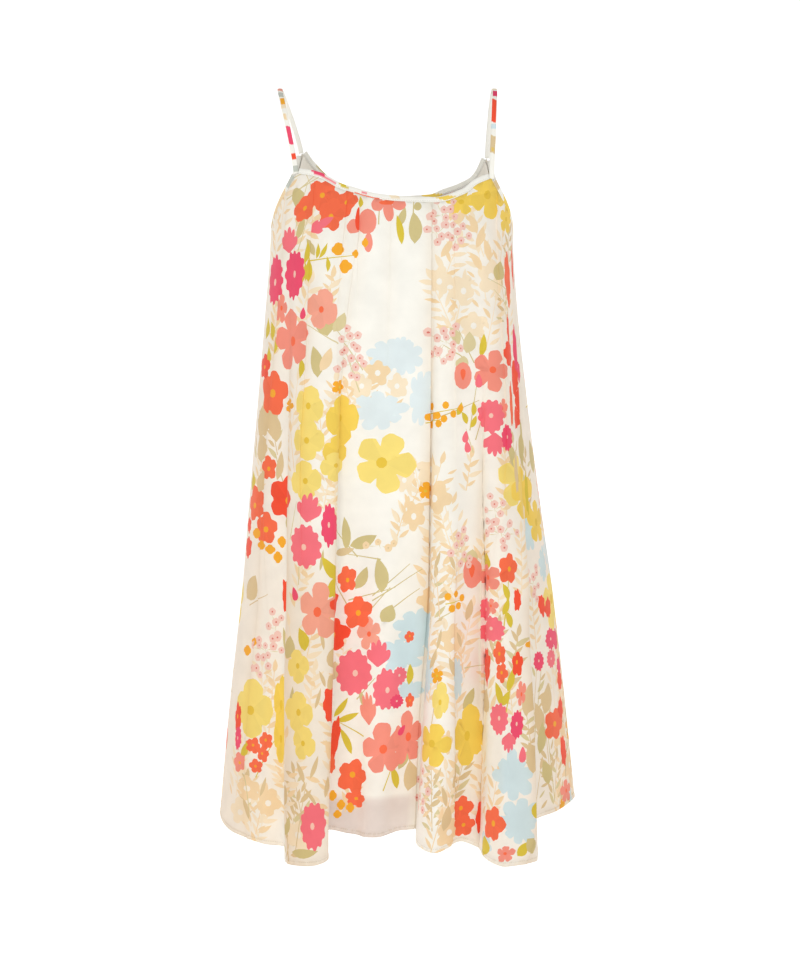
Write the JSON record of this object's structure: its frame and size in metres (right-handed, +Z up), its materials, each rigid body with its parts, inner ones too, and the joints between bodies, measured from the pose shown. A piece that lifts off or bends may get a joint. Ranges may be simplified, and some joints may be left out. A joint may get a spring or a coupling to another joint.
{
  "type": "slip dress",
  "caption": "Short A-line slip dress with narrow shoulder straps, a gathered neck, floral print and plain lining, filled out as if worn.",
  "frame": {"origin": "midway between the undersides of the two shoulder straps at their highest points, where a wearer's shoulders hold the dress", "axes": "+Z up, the front of the dress faces -Y, +X to the right of someone who looks at the front"},
  "size_m": [0.43, 0.3551, 0.8952],
  "materials": {
    "printed_cloth": "matt, slightly sheer crepe with a printed flower pattern on ivory",
    "lining_cloth": "smooth matt plain weave, ivory",
    "binding_cloth": "the printed crepe folded into a narrow strip, mostly ivory",
    "strap_cloth": "the printed crepe sewn into a narrow flat strap"
  },
  "bodies": {
    "root": {"front_panel": "printed_cloth", "back_panel": "printed_cloth", "front_lining": "lining_cloth", "back_lining": "lining_cloth", "front_neck_binding": "binding_cloth", "back_neck_binding": "binding_cloth", "armhole_binding_left": "binding_cloth", "armhole_binding_right": "binding_cloth", "strap_left": "strap_cloth", "strap_right": "strap_cloth"}
  },
  "joints": []
}
